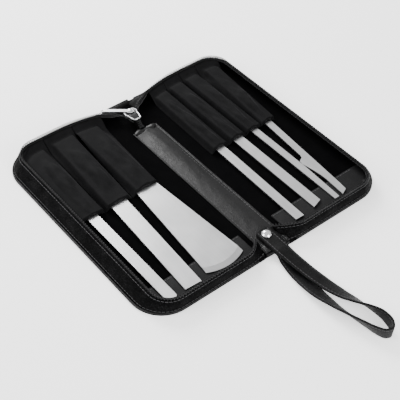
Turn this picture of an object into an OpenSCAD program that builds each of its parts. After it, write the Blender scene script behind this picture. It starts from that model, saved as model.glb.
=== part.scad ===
// Zip case that opens like a book, with seven steel hand tools in sewn sleeves.
// +X is across the case, +Y towards the zipper slider, +Z up. The origin is on
// the underside of the spine, half way along the case.

/* [Case] */
// Length of the case along the spine
case_len = 185; // [170:1:225]
// Width of one half, from its crease to its outer edge
half_w = 91.5; // [89:0.5:115]
// Width of the spine between its two creases
spine_w = 20; // [18:0.5:26]
// Radius of the outer corners, seen from above
corner_r = 24; // [14:1:30]
// Thickness of the outer skin
skin_t = 1; // [0.6:0.1:1.6]
// Thickness of the stiffening board
board_t = 1.8; // [1:0.1:3]
// Thickness of the lining
lining_t = 0.7; // [0.4:0.1:1.2]

/* [Walls and zipper] */
// Gap between the two zipper coils when the case is shut
zip_gap = 0.4; // [0.2:0.1:1]
// Thickness of the soft wall
wall_t = 1.2; // [0.8:0.1:1.8]
// How far the top of the long outer wall leans in
side_lean = 7.8; // [2:0.1:10]
// How far the top of the far wall leans in
far_lean = 3.4; // [1:0.1:7]
// How far the top of the near wall leans in
near_lean = 0.4; // [0:0.1:2]
// Distance from each crease to where the near walls begin
near_start = 6.5; // [5:0.5:10]
// Distance from each crease to where the far walls begin
far_start = 12; // [11:0.5:16]
// Width of the zipper tape that shows inside the wall
tape_w = 4.3; // [3:0.1:6]
// Thickness of the zipper tape
tape_t = 0.6; // [0.4:0.1:1]
// Height of the zipper coil
coil_h = 1.5; // [1.2:0.1:2]
// Width of the zipper coil
coil_w = 1.15; // [0.8:0.05:1.6]
// Diameter of the piped edge round the base
piping_d = 1.1; // [0.8:0.1:1.6]

/* [Sleeves] */
// Distance from the near edge of the case to the tip of the longest blade
tip_in = 7.5; // [6:0.5:12]
// Height of a sleeve above the lining
sleeve_h = 8.5; // [7.8:0.1:9]
// Thickness of the sleeve fabric
sleeve_t = 0.8; // [0.5:0.1:1.2]
// Room across a sleeve beside its handle
sleeve_ease = 3; // [1.6:0.1:3.4]
// Distance from the outer edge of the left half to its first sleeve
left_room = 10.55; // [10:0.05:16]
// Distance from the outer edge of the right half to its first sleeve
right_room = 20.1; // [14:0.1:24]
// Height of the strip that the tool tips rest on
tip_rest_h = 1.6; // [0.8:0.1:1.7]
// Depth of the tip rest from the near edge of the case
tip_rest_w = 24.2; // [15:0.1:30]

/* [Handles] */
// Length of the handles
handle_len = 68; // [58:1:72]
// Thickness of the handles
handle_t = 4.8; // [4:0.1:5.4]
// Width of the three handles in the left half
left_handle_w = 14.5; // [12:0.1:16]
// Width of the four handles in the right half
right_handle_w = 8.6; // [7:0.1:9]
// Depth of the tang in the handle
tang_len = 30; // [15:1:45]

/* [Blades] */
// Thickness of every blade
blade_t = 1.2; // [0.8:0.1:1.6]
// Length of the longest blade, from the sleeve's mouth to its tip
blade_len = 89; // [70:0.5:89]
// Width of the narrow blade in the left half
narrow_w = 7.8; // [6:0.1:10]
// Width of the medium blade in the left half
medium_w = 12.3; // [10:0.1:14]
// Width of the fan blade at the sleeve
fan_neck_w = 16.5; // [12:0.1:17]
// Width of the fan blade at its tip
fan_tip_w = 30.7; // [22:0.1:33]
// How far the round tip of the fan blade bulges out
fan_bulge = 3.9; // [2:0.1:5]
// Width of the square-ended blade in the right half
square_w = 6.9; // [5:0.1:8]
// Width of the skew-ended blade in the right half
skew_w = 8; // [6:0.1:9]
// Width of the tapered blade at the sleeve
taper_w = 5.4; // [4:0.1:7]
// Width of the tapered blade at its tip
taper_tip_w = 3.9; // [2:0.1:5]
// Width of the hooked knife's shank
knife_w = 5.4; // [4:0.1:7]
// Width of the hooked knife at its heel
knife_heel_w = 9.9; // [8:0.1:11]

/* [Spine and strap] */
// Thickness of the strip that lines the spine
strip_t = 0.8; // [0.5:0.1:1.2]
// Width of the wrist strap
strap_w = 10.6; // [8:0.1:12]
// Thickness of one layer of the wrist strap
strap_t = 1.7; // [1.2:0.1:2.2]
// Diameter of the rivet's cap
rivet_cap_d = 7; // [5:0.1:9]
// Diameter of the rivet's shank
rivet_d = 3; // [2.4:0.1:3.6]
// Distance from the near edge of the case to the rivet
rivet_in = 11.5; // [10:0.5:16]

/* [Slider] */
// Width of the zipper slider
slider_w = 9; // [8:0.1:11]
// Length of the zipper slider
slider_len = 13; // [11:0.5:15]
// Distance from the far edge of the case to the slider's tail end
slider_in = 31.5; // [30:0.5:40]
// Length of the pull tab from its eye
pull_len = 22; // [14:0.5:22]
// Width of the pull tab
pull_w = 2.8; // [2:0.1:5]

/* [Hidden] */

$fn = 48;
eps = 0.01;
gap = 0.1;              // between sewn layers that stand on edge
crease_gap = 0.25;      // from each crease to the panels beside it
clear = 0.3;            // between soft pieces and what lies beside them

half_len = case_len / 2;
crease_x = spine_w / 2;
edge_x = crease_x + half_w;
floor_z = skin_t + board_t + lining_t;     // top of the lining, and height of the fold axes
coil_top = floor_z + (spine_w - zip_gap) / 2;
coil_z = coil_top - coil_h;
wall_top = coil_z - 0.2;
wall_h = wall_top - skin_t;
foot_in = piping_d + 0.1;                  // the wall's foot stands inside the piping

// Tool places: distance of each centre line from its crease at the sleeve's mouth,
// and the small turn, in degrees, that each tool has in its sleeve.
left_sleeve_w = left_handle_w + 2 * sleeve_t + sleeve_ease;
right_sleeve_w = right_handle_w + 2 * sleeve_t + sleeve_ease;
narrow_x = half_w - left_room - left_sleeve_w / 2;
medium_x = narrow_x - left_sleeve_w - 2.3;
fan_x = medium_x - left_sleeve_w - 4.4;
knife_x = half_w - right_room - right_sleeve_w / 2;
taper_x = knife_x - right_sleeve_w - 0.4;
skew_x = taper_x - right_sleeve_w - 2.3;
square_x = skew_x - right_sleeve_w - 3.3;
mouth_y = -half_len + tip_in + blade_len;
medium_turn = -3;
square_turn = -1;
knife_turn = -4.2;

handle_z = floor_z + gap;
blade_z = handle_z + (handle_t - blade_t) / 2;
handle_start = 2;                          // the handle begins this far inside the mouth
sleeve_len = handle_start + handle_len + 3;

plate_t = 0.9;
chain_h = 1.6;                             // tape and coil together, in the slider
play = 0.15;                               // round the tape in the slider
slider_z = floor_z + 4.1;                  // underside of the slider
tail_z = slider_z + plate_t + play;        // underside of the tape in the slider
over_z = tail_z + chain_h + play;          // underside of the slider's upper plate
tail_w = slider_w - 2.4;
slider_y = half_len - slider_in;
slider_x = -1.5;
wedge_d = 2;
wedge_y = slider_y + slider_len - 3;
slider_run = 5;                            // straight part of the slider's travel
pull_t = 0.9;
pull_z = over_z + plate_t + 0.25;

rivet_x = -0.8;
rivet_y = -half_len + rivet_in;
strap_z = floor_z + strip_t + gap;         // underside of the strap at the rivet
strap_end_y = -half_len - 2.2;             // where the root meets the free loop
strap_top_z = strap_z + 2 * strap_t;

leather = "#2a2a2c";
fleece = "#1c1c1e";
lining_c = "#141416";
steel = "#d8dadc";
nickel = "#c8cacc";
plastic = "#232325";

// A panel of the right half: square at the spine, round at the two outer corners.
module panel(x0, side_in, far_in, near_in, r) {
    x1 = edge_x - side_in;
    y0 = -half_len + near_in;
    y1 = half_len - far_in;
    translate([x0, y0]) square([x1 - r - x0, y1 - y0]);
    translate([x0, y0 + r]) square([x1 - x0, y1 - y0 - 2 * r]);
    translate([x1 - r, y0 + r]) circle(r);
    translate([x1 - r, y1 - r]) circle(r);
}

// How far the wall's outer face stands in from the edge at height z.
function lean_at(z, lean) = foot_in + lean * (z - skin_t) / wall_h;

// The space inside the leaning wall, moved in by off, between two heights.
module lean_layer(z, x0, off) {
    side = lean_at(z, side_lean) + off;
    translate([0, 0, z]) linear_extrude(eps)
        panel(x0, side, lean_at(z, far_lean) + off, lean_at(z, near_lean) + off, corner_r - side);
}

module lean_solid(z0, z1, x0, off) {
    hull() {
        lean_layer(z0, x0, off);
        lean_layer(z1 - eps, x0, off);
    }
}

// A band that follows the wall on three sides, from off0 to off1 inside its face.
module lean_band(z0, z1, off0, off1) {
    x0 = crease_x + near_start;
    difference() {
        lean_solid(z0, z1, x0, off0);
        lean_solid(z0 - 1, z1 + 1, x0 - 1, off1);
        far_room(z0 - 2);
    }
}

// The far walls stop short of the spine, to leave room for the slider's pull.
module far_room(z) {
    translate([0, 0, z]) cube([crease_x + far_start, case_len, 2 * wall_h]);
}

module half_cover() {
    color(leather) linear_extrude(skin_t) panel(crease_x + crease_gap, 0, 0, 0, corner_r);
}

module flat_layer(z, t) {
    off = wall_t + clear;
    side = lean_at(floor_z, side_lean) + off;
    translate([0, 0, z]) linear_extrude(t)
        panel(crease_x + crease_gap, side, lean_at(floor_z, far_lean) + off,
              lean_at(floor_z, near_lean) + off, corner_r - side);
}

module half_board() {
    color("dimgray") flat_layer(skin_t, board_t);
}

module half_lining() {
    color(lining_c) flat_layer(skin_t + board_t, lining_t);
}

module half_wall() {
    color(leather) lean_band(skin_t, wall_top, 0, wall_t);
}

module half_piping() {
    x0 = crease_x + near_start;
    color(leather) difference() {
        translate([0, 0, skin_t]) linear_extrude(piping_d) difference() {
            panel(x0, 0.05, 0.05, 0.05, corner_r);
            panel(x0 - 1, 0.05 + piping_d, 0.05 + piping_d, 0.05 + piping_d, corner_r - piping_d);
        }
        far_room(0);
    }
}

module half_tape() {
    inner = wall_t + gap;
    color(lining_c) lean_band(coil_top - 0.3 - tape_w, coil_top - 0.3, inner, inner + tape_t);
}

module half_coil() {
    color(lining_c) lean_band(coil_z, coil_top, wall_t + gap / 2 - coil_w, wall_t + gap / 2);
}

module half_tip_rest() {
    off = wall_t + clear;
    top = floor_z + tip_rest_h;
    side = lean_at(top, side_lean) + off;
    color(leather) intersection() {
        translate([0, 0, floor_z]) linear_extrude(tip_rest_h)
            panel(crease_x + near_start, side, lean_at(top, far_lean) + off,
                  lean_at(top, near_lean) + off, corner_r - side);
        translate([0, -half_len, 0]) cube([edge_x, tip_rest_w, wall_top]);
    }
}

// Left pieces are the right ones in the mirror.
module left() {
    mirror([1, 0, 0]) children();
}

// Puts a tool or a sleeve, drawn about its own centre line, at its place.
module at_place(x, turn) {
    translate([x, mouth_y, 0]) rotate([0, 0, turn]) children();
}

module arch(w, h, r) {
    intersection() {
        translate([-w / 2, 0]) square([w, h]);
        union() {
            translate([-w / 2, 0]) square([w, h - r]);
            translate([-w / 2 + r, 0]) square([w - 2 * r, h]);
            translate([-w / 2 + r, h - r]) circle(r);
            translate([w / 2 - r, h - r]) circle(r);
        }
    }
}

// The room inside the leaning wall and its tape, moved in by off.
module sleeve_room(off) {
    lean_solid(floor_z - 1, floor_z + sleeve_h + 1, crease_x, wall_t + gap + tape_t + clear + off);
}

module arch_bar(w, h, r, y0, y1) {
    translate([0, y1, floor_z]) rotate([90, 0, 0]) linear_extrude(y1 - y0) arch(w, h, r);
}

// A sewn sleeve: an arch of fabric on the lining, open at the mouth and shut at
// its far end, where it gives way to the case's rounded corner.
module sleeve(x, turn, w) {
    r = min(w / 2, sleeve_h) - 1;
    color(fleece) difference() {
        intersection() {
            at_place(x, turn) arch_bar(w, sleeve_h, r, 0, sleeve_len);
            sleeve_room(0);
        }
        intersection() {
            at_place(x, turn) translate([0, 0, -eps])
                arch_bar(w - 2 * sleeve_t, sleeve_h - sleeve_t + eps, r - sleeve_t, -1, sleeve_len - sleeve_t);
            sleeve_room(sleeve_t);
        }
    }
}

// A moulded handle with a slot for its blade's tang.
module handle(w, tang_w) {
    r = handle_t / 2 - 0.1;
    color(plastic) difference() {
        translate([0, handle_start + handle_len, handle_z + handle_t / 2]) rotate([90, 0, 0])
            linear_extrude(handle_len) {
                square([w - 2 * r, handle_t], center = true);
                square([w, handle_t - 2 * r], center = true);
                for (sx = [-1, 1], sz = [-1, 1])
                    translate([sx * (w / 2 - r), sz * (handle_t / 2 - r)]) circle(r);
            }
        translate([-tang_w / 2 - 0.02, handle_start - eps, blade_z - 0.02])
            cube([tang_w + 0.04, tang_len + eps + 0.02, blade_t + 0.04]);
    }
}

// A flat blade with a narrower tang behind it.
module blade(tang_w) {
    color(steel) translate([0, 0, blade_z]) linear_extrude(blade_t) {
        children();
        translate([-tang_w / 2, handle_start - 1]) square([tang_w, tang_len + 1]);
    }
}

module bar_outline(w, left_end, right_end) {
    polygon([[-w / 2, -left_end], [w / 2, -right_end], [w / 2, handle_start], [-w / 2, handle_start]]);
}

function narrow_tang() = narrow_w - 2.4;
function medium_tang() = medium_w - 4;
function fan_tang() = fan_neck_w - 7;
function square_tang() = square_w - 2;
function skew_tang() = skew_w - 2.4;
function taper_tang() = taper_w - 1.4;
function knife_tang() = knife_w - 1.4;

// Parallel blade whose end runs off round at one corner.
module narrow_outline() {
    r = narrow_w / 4;
    cut = narrow_w * 0.55;
    polygon([
        [-narrow_w / 2, -blade_len + cut], [-narrow_w / 2 + cut, -blade_len],
        for (a = [-90:15:0]) [narrow_w / 2 - r + r * cos(a), -blade_len + r + r * sin(a)],
        [narrow_w / 2, handle_start], [-narrow_w / 2, handle_start]
    ]);
}

// Spatula blade that spreads from its neck to a round tip.
module fan_outline() {
    tip_y = blade_len - fan_bulge;
    r = (fan_tip_w * fan_tip_w / 4 + fan_bulge * fan_bulge) / (2 * fan_bulge);
    half_arc = asin(fan_tip_w / 2 / r);
    polygon([
        [fan_neck_w / 2, handle_start], [-fan_neck_w / 2, handle_start],
        for (i = [0:16])
            let (a = -90 - half_arc * (1 - i / 8))
            [r * cos(a), -blade_len + r + r * sin(a)]
    ]);
}

// Knife with a slim shank, a step to its heel, and a hollow edge that runs to a slant tip.
module knife_outline() {
    step_y = 42.5;
    heel_y = 47;
    run = blade_len - heel_y - 4;
    heel = knife_heel_w - knife_w / 2;
    polygon([
        [knife_w / 2, handle_start], [-knife_w / 2, handle_start], [-knife_w / 2, -step_y],
        [-knife_w / 2 - 0.8, -step_y - 2.4], [-heel + 0.5, -heel_y],
        for (i = [0:8])
            let (t = i / 8)
            [-knife_w / 2 - (heel - knife_w / 2) * pow(1 - t, 1.8), -heel_y - 3.4 - run * t * 0.62],
        [-knife_w / 2 + 0.2, -blade_len], [knife_w / 2 - 0.3, -blade_len + 2.8],
        [knife_w / 2, -blade_len + 9]
    ]);
}

// The fan's tip is ground thin on its upper side.
// Ground to an edge along its round tip, on the upper face.
module fan_blade_shape() {
    bevel = 4.5;
    edge_t = 0.35;
    ground = blade_t - edge_t;
    tip_r = (pow(fan_tip_w / 2, 2) + pow(fan_bulge, 2)) / (2 * fan_bulge);
    difference() {
        blade(fan_tang()) fan_outline();
        translate([0, tip_r - blade_len, blade_z + edge_t]) difference() {
            translate([-fan_tip_w, -1.2 * tip_r, 0.01]) cube([2 * fan_tip_w, 0.55 * tip_r, 2 * ground]);
            translate([0, 0, -ground])
                cylinder(r1 = tip_r + bevel + 0.4, r2 = tip_r - 3 * bevel + 0.4, h = 4 * ground, $fn = 180);
        }
    }
}

module spine_plate(z, t, x, y0, y1) {
    translate([-x, y0, z]) linear_extrude(t) square([2 * x, y1 - y0]);
}

module rivet_hole(z0, z1, d) {
    translate([rivet_x, rivet_y, z0 - eps]) cylinder(d = d, h = z1 - z0 + 2 * eps);
}

module spine_skin() {
    color(leather) spine_plate(0, skin_t, crease_x - crease_gap, -half_len, half_len);
}

// The stiffener is let in round the rivet's flange.
module spine_stiffener() {
    color("dimgray") difference() {
        spine_plate(skin_t, board_t + lining_t, crease_x - 1.2, -half_len + 1.5, half_len - 1.5);
        rivet_hole(skin_t, floor_z, rivet_d + 0.1);
        rivet_hole(skin_t, skin_t + 0.7, rivet_cap_d + 0.1);
    }
}

module spine_strip() {
    color(leather) difference() {
        spine_plate(floor_z, strip_t, crease_x - 0.5, -half_len + 1, slider_y + 2);
        rivet_hole(floor_z, floor_z + strip_t, rivet_d + 0.1);
    }
}

// The strip's far end is folded over and stitched.
module spine_end_tab() {
    color(leather) spine_plate(floor_z + strip_t, strip_t, crease_x - 1.4, slider_y - 8, slider_y - 2);
}

// The end of the zipper: it rises from the spine, runs level through the slider,
// is parted there by the slider's wedge, and comes down again beyond it.
module zipper_tail() {
    y0 = slider_y - 1.5;
    y1 = slider_y + slider_len + slider_run + 1;
    foot = floor_z + strip_t + gap;
    top = tail_z + tape_t;
    color(lining_c) translate([slider_x, 0, 0]) difference() {
        union() {
            translate([-tail_w / 2, 0, 0]) rotate([90, 0, 90]) linear_extrude(tail_w)
                polygon([[y0 - 0.2, foot], [y0 + 1.2, foot], [y0 + 1.2, tail_z], [y1, tail_z],
                         [y1 + 6, floor_z], [y1 + 7, floor_z], [y1 + 0.4, top], [y0 - 0.2, top]]);
            translate([-tail_w / 2 + 0.9, y0, top - eps])
                cube([tail_w - 1.8, y1 - y0, chain_h - tape_t + eps]);
        }
        translate([-wedge_d / 2 - clear, wedge_y - wedge_d / 2 - clear, tail_z - 1])
            cube([wedge_d + 2 * clear, slider_run + wedge_d + 2 * clear, chain_h + 2]);
    }
}

// The slider: two plates held apart by a wedge at its nose, with lips along the
// sides, a ribbed hollow on top, and a headed post that carries the pull tab.
module slider_body() {
    lip = 0.8;
    ribs = 5;
    hollow_w = slider_w - 2.4;
    top = over_z + plate_t;
    color(nickel) translate([slider_x, 0, 0]) {
        translate([-slider_w / 2, slider_y, slider_z]) cube([slider_w, slider_len, plate_t]);
        difference() {
            translate([-slider_w / 2, slider_y, over_z]) cube([slider_w, slider_len, plate_t]);
            translate([-hollow_w / 2, slider_y + 1.2, top - 0.35]) cube([hollow_w, slider_len - 5.6, 1]);
        }
        for (i = [0:ribs - 1])
            translate([hollow_w * ((i + 0.5) / ribs - 0.5) - 0.35, slider_y + 1.1, over_z + plate_t / 2])
                cube([0.7, slider_len - 5.4, plate_t / 2]);
        for (s = [-1, 1]) translate([s * (slider_w - lip) / 2 - lip / 2, slider_y, 0]) {
            translate([0, 0, slider_z]) cube([lip, slider_len, plate_t + 0.5]);
            translate([0, 0, over_z - 0.5]) cube([lip, slider_len, plate_t + 0.5]);
        }
        translate([0, wedge_y, slider_z]) cylinder(d = wedge_d, h = pull_z + pull_t + 0.2 - slider_z);
        translate([0, wedge_y, pull_z + pull_t + 0.15]) cylinder(d = wedge_d + 1.4, h = 0.6);
    }
}

// The pull tab lies out over the left half, with its eye on the slider's post.
module pull_tab() {
    end = pull_len - pull_w / 2;
    color(nickel) translate([slider_x, wedge_y, pull_z]) rotate([0, 0, 142]) difference() {
        union() {
            cylinder(d = wedge_d + 2.8, h = pull_t);
            translate([0, -pull_w / 2, 0]) cube([end, pull_w, pull_t]);
            translate([end, 0, 0]) cylinder(d = pull_w, h = pull_t);
        }
        translate([0, 0, -eps]) cylinder(d = wedge_d + 0.2, h = pull_t + 2 * eps);
        translate([end, 0, -eps]) cylinder(d = pull_w / 2, h = pull_t + 2 * eps);
    }
}

module rivet_post() {
    color(nickel) translate([rivet_x, rivet_y, 0]) {
        translate([0, 0, skin_t]) cylinder(d = rivet_cap_d, h = 0.65);
        translate([0, 0, skin_t]) cylinder(d = rivet_d, h = strap_top_z + gap - skin_t);
    }
}

module rivet_cap() {
    dome_h = 1.9;
    r = (rivet_cap_d * rivet_cap_d / 4 + dome_h * dome_h) / (2 * dome_h);
    color(nickel) translate([rivet_x, rivet_y, strap_top_z + gap]) {
        cylinder(d = rivet_cap_d, h = 0.5);
        translate([0, 0, 0.5]) rotate_extrude() intersection() {
            translate([0, dome_h - r]) circle(r, $fn = 96);
            square([rivet_cap_d, dome_h]);
        }
    }
}

// Both ends of the strap, one on the other, turn on the rivet's shank.
module strap_root() {
    end_y = rivet_y + strap_w / 2 + 0.8;
    color(leather) difference() {
        translate([rivet_x, 0, strap_z]) linear_extrude(2 * strap_t) {
            translate([-strap_w / 2, strap_end_y]) square([strap_w, end_y - 2 - strap_end_y]);
            translate([-strap_w / 2 + 2, strap_end_y]) square([strap_w - 4, end_y - strap_end_y]);
            for (s = [-1, 1]) translate([s * (strap_w / 2 - 2), end_y - 2]) circle(2);
        }
        rivet_hole(strap_z, strap_top_z, rivet_d + 0.1);
    }
}

// The strap's middle line: x, distance beyond the root, height and tilt of its
// flat side, out along the upper strand, round the end and back along the lower one.
strap_line = [
    [-0.8, 0.5, 7.0, 0], [-0.8, 4, 6.7, 2], [0, 10, 5.4, 5], [1, 20, 4.2, 8], [2.2, 31, 3.6, 10],
    [3.6, 42, 3.6, 14], [5.4, 52, 4.2, 24], [7.8, 61, 5.0, 40], [10.2, 69, 5.6, 60],
    [12, 76, 5.8, 76], [12.4, 82, 5.8, 86], [11, 88, 5.8, 92], [7.6, 91.6, 5.8, 94],
    [3.8, 90.6, 5.7, 98], [1.2, 86, 5.6, 104], [-0.6, 79, 5.5, 112], [-2.4, 70, 5.1, 122],
    [-4.2, 60, 4.4, 134], [-5.2, 50, 3.4, 148], [-5.3, 40, 2.2, 162], [-4.6, 30, 1.3, 172],
    [-3.4, 20, 1.2, 178], [-2, 10, 2.2, 180], [-0.8, 4, 4.4, 180], [-0.8, 0.5, 5.1, 180]
];

function unit(v) = v / norm(v);
function strap_low(a) = (strap_w * abs(sin(a)) + strap_t * abs(cos(a))) / 2 + 0.15;
function strap_at(i) =
    [strap_line[i][0], strap_end_y - strap_line[i][1], max(strap_line[i][2], strap_low(strap_line[i][3]))];
function strap_dir(i) =
    unit(strap_at(min(i + 1, len(strap_line) - 1)) - strap_at(max(i - 1, 0)));

// Four corners of the strap's section at one point of its middle line.
function strap_ring(i) =
    let (d = strap_dir(i), a = strap_line[i][3])
    let (side = unit(cross(d, [0, 0, 1])), up = unit(cross(side, d)))
    let (across = side * cos(a) + up * sin(a), out = up * cos(a) - side * sin(a))
    [for (s = [[-1, -1], [1, -1], [1, 1], [-1, 1]])
        strap_at(i) + across * s[0] * strap_w / 2 + out * s[1] * (strap_t - 0.1) / 2];

module strap_loop() {
    n = len(strap_line);
    points = [for (i = [0:n - 1]) each strap_ring(i)];
    sides = [for (i = [0:n - 2], k = [0:3])
        let (a = 4 * i + k, b = 4 * i + (k + 1) % 4)
        each [[a, b, b + 4], [a, b + 4, a + 4]]];
    caps = [[0, 3, 2, 1], [4 * n - 4, 4 * n - 3, 4 * n - 2, 4 * n - 1]];
    color(leather) polyhedron(points, concat(sides, caps));
}

left() half_cover();  // left_cover
left() half_board();  // left_board
left() half_lining();  // left_lining
left() half_wall();  // left_wall
left() half_piping();  // left_piping
left() half_tape();  // left_zipper_tape
left() half_coil();  // left_zipper_coil
left() half_tip_rest();  // left_tip_rest
half_cover();  // right_cover
half_board();  // right_board
half_lining();  // right_lining
half_wall();  // right_wall
half_piping();  // right_piping
half_tape();  // right_zipper_tape
half_coil();  // right_zipper_coil
half_tip_rest();  // right_tip_rest

left() sleeve(crease_x + narrow_x, 0, left_sleeve_w);  // narrow_sleeve
left() sleeve(crease_x + medium_x, -medium_turn, left_sleeve_w);  // medium_sleeve
left() sleeve(crease_x + fan_x, 0, left_sleeve_w);  // fan_sleeve
sleeve(crease_x + square_x, square_turn, right_sleeve_w);  // square_sleeve
sleeve(crease_x + skew_x, 0, right_sleeve_w);  // skew_sleeve
sleeve(crease_x + taper_x, 0, right_sleeve_w);  // taper_sleeve
sleeve(crease_x + knife_x, knife_turn, right_sleeve_w);  // knife_sleeve

at_place(-crease_x - narrow_x, 0) handle(left_handle_w, narrow_tang());  // narrow_handle
at_place(-crease_x - medium_x, medium_turn) handle(left_handle_w, medium_tang());  // medium_handle
at_place(-crease_x - fan_x, 0) handle(left_handle_w, fan_tang());  // fan_handle
at_place(crease_x + square_x, square_turn) handle(right_handle_w, square_tang());  // square_handle
at_place(crease_x + skew_x, 0) handle(right_handle_w, skew_tang());  // skew_handle
at_place(crease_x + taper_x, 0) handle(right_handle_w, taper_tang());  // taper_handle
at_place(crease_x + knife_x, knife_turn) handle(right_handle_w, knife_tang());  // knife_handle

at_place(-crease_x - narrow_x, 0) blade(narrow_tang()) narrow_outline();  // narrow_blade
at_place(-crease_x - medium_x, medium_turn)  // medium_blade
        blade(medium_tang()) bar_outline(medium_w, blade_len - 0.4, blade_len - 0.4);
at_place(-crease_x - fan_x, 0) fan_blade_shape();  // fan_blade
at_place(crease_x + square_x, square_turn)  // square_blade
        blade(square_tang()) bar_outline(square_w, blade_len - 2.3, blade_len - 2.3);
at_place(crease_x + skew_x, 0) blade(skew_tang()) bar_outline(skew_w, blade_len - 3.4, blade_len - 6);  // skew_blade
at_place(crease_x + taper_x, 0) blade(taper_tang()) polygon([  // taper_blade
        [-taper_w / 2, -blade_len + 0.4], [taper_tip_w - taper_w / 2, -blade_len + 0.4],
        [taper_w / 2, -blade_len * 0.6], [taper_w / 2, handle_start], [-taper_w / 2, handle_start]]);
at_place(crease_x + knife_x, knife_turn) blade(knife_tang()) knife_outline();  // knife_blade

spine_skin();
spine_stiffener();
spine_strip();
spine_end_tab();
zipper_tail();
slider_body();
pull_tab();
rivet_post();
rivet_cap();
strap_root();
strap_loop();
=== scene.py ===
import math

import bmesh
import bpy
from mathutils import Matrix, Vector, noise


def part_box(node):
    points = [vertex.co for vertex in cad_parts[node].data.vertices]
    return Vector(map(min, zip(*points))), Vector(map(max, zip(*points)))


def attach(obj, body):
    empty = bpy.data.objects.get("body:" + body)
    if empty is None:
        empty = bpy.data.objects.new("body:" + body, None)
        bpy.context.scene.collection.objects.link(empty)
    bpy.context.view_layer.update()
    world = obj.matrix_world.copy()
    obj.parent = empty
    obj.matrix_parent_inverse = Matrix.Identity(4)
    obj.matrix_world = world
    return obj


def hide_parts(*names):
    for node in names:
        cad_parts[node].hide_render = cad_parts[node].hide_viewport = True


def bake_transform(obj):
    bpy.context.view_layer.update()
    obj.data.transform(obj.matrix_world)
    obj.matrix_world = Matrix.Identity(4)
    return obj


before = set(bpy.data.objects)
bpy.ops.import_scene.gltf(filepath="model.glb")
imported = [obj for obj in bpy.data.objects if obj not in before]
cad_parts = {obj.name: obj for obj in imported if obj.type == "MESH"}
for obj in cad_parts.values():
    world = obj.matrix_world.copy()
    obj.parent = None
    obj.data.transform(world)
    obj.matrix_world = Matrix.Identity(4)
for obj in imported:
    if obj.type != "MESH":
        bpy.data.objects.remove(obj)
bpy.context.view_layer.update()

# ---------------------------------------------------------------------------
# View. The case lies open on a plain pale table, seen from its near left
# corner, in soft light from large lamps overhead.
# ---------------------------------------------------------------------------
turn, dip = math.radians(38.21), math.radians(44.28)
far_off = 0.7098  # metres from the origin
gaze = Vector((math.sin(turn) * math.cos(dip), math.cos(turn) * math.cos(dip), -math.sin(dip)))
eye = bpy.data.cameras.new("eye")
eye.lens, eye.sensor_width = 90.15, 36.0
eye.shift_x, eye.shift_y = 0.022, -0.0643
eye_stand = bpy.data.objects.new("eye", eye)
eye_stand.location = -gaze * far_off
eye_stand.rotation_euler = gaze.to_track_quat("-Z", "Y").to_euler()
bpy.context.collection.objects.link(eye_stand)
bpy.context.scene.camera = eye_stand

sky = bpy.data.worlds.new("studio")
sky.use_nodes = True
sky.node_tree.nodes["Background"].inputs["Color"].default_value = (1, 1, 1, 1)
sky.node_tree.nodes["Background"].inputs["Strength"].default_value = 1.0
bpy.context.scene.world = sky

lamps = [
    # name, place in metres, size in metres, watts
    ("far_lamp", (0.1, 0.85, 0.6), 0.5, 17.0),
    ("left_lamp", (-0.8, 0.3, 0.6), 0.5, 7.0),
    ("near_lamp", (0.1, -0.95, 0.5), 0.5, 9.0),
]
lamp_shine = 0.45
for name, place, width, watts in lamps:
    lamp = bpy.data.lights.new(name, "AREA")
    lamp.size, lamp.energy = width, watts
    lamp.specular_factor = lamp_shine
    stand = bpy.data.objects.new(name, lamp)
    stand.location = place
    stand.rotation_euler = (-Vector(place)).to_track_quat("-Z", "Y").to_euler()
    bpy.context.collection.objects.link(stand)


# ---------------------------------------------------------------------------
# Outer skin. Soft faux leather: a cloth back with a thin grained plastic face.
# One skin covers both halves and the spine, and bends at two creases, so it is
# made here in a left and a right part that meet along the middle of the spine.
# ---------------------------------------------------------------------------
class Signal:
    """A value or colour that varies over a surface; sums on it add nodes."""

    def __init__(self, finish, socket):
        self.finish, self.socket = finish, socket

    def sum_with(self, operation, first, second=None):
        sockets = {0: first} if second is None else {0: first, 1: second}
        return self.finish.node("ShaderNodeMath", {"operation": operation}, sockets)

    def __add__(self, other):
        return self.sum_with("ADD", self, other)

    __radd__ = __add__

    def __sub__(self, other):
        return self.sum_with("SUBTRACT", self, other)

    def __rsub__(self, other):
        return self.sum_with("SUBTRACT", other, self)

    def __mul__(self, other):
        return self.sum_with("MULTIPLY", self, other)

    __rmul__ = __mul__

    def steep(self, low, high):
        """0 below low, 1 above high, and straight between."""
        settings = {"clamp": True}
        sockets = {"Value": self, "From Min": low, "From Max": high}
        return self.finish.node("ShaderNodeMapRange", settings, sockets)


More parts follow.
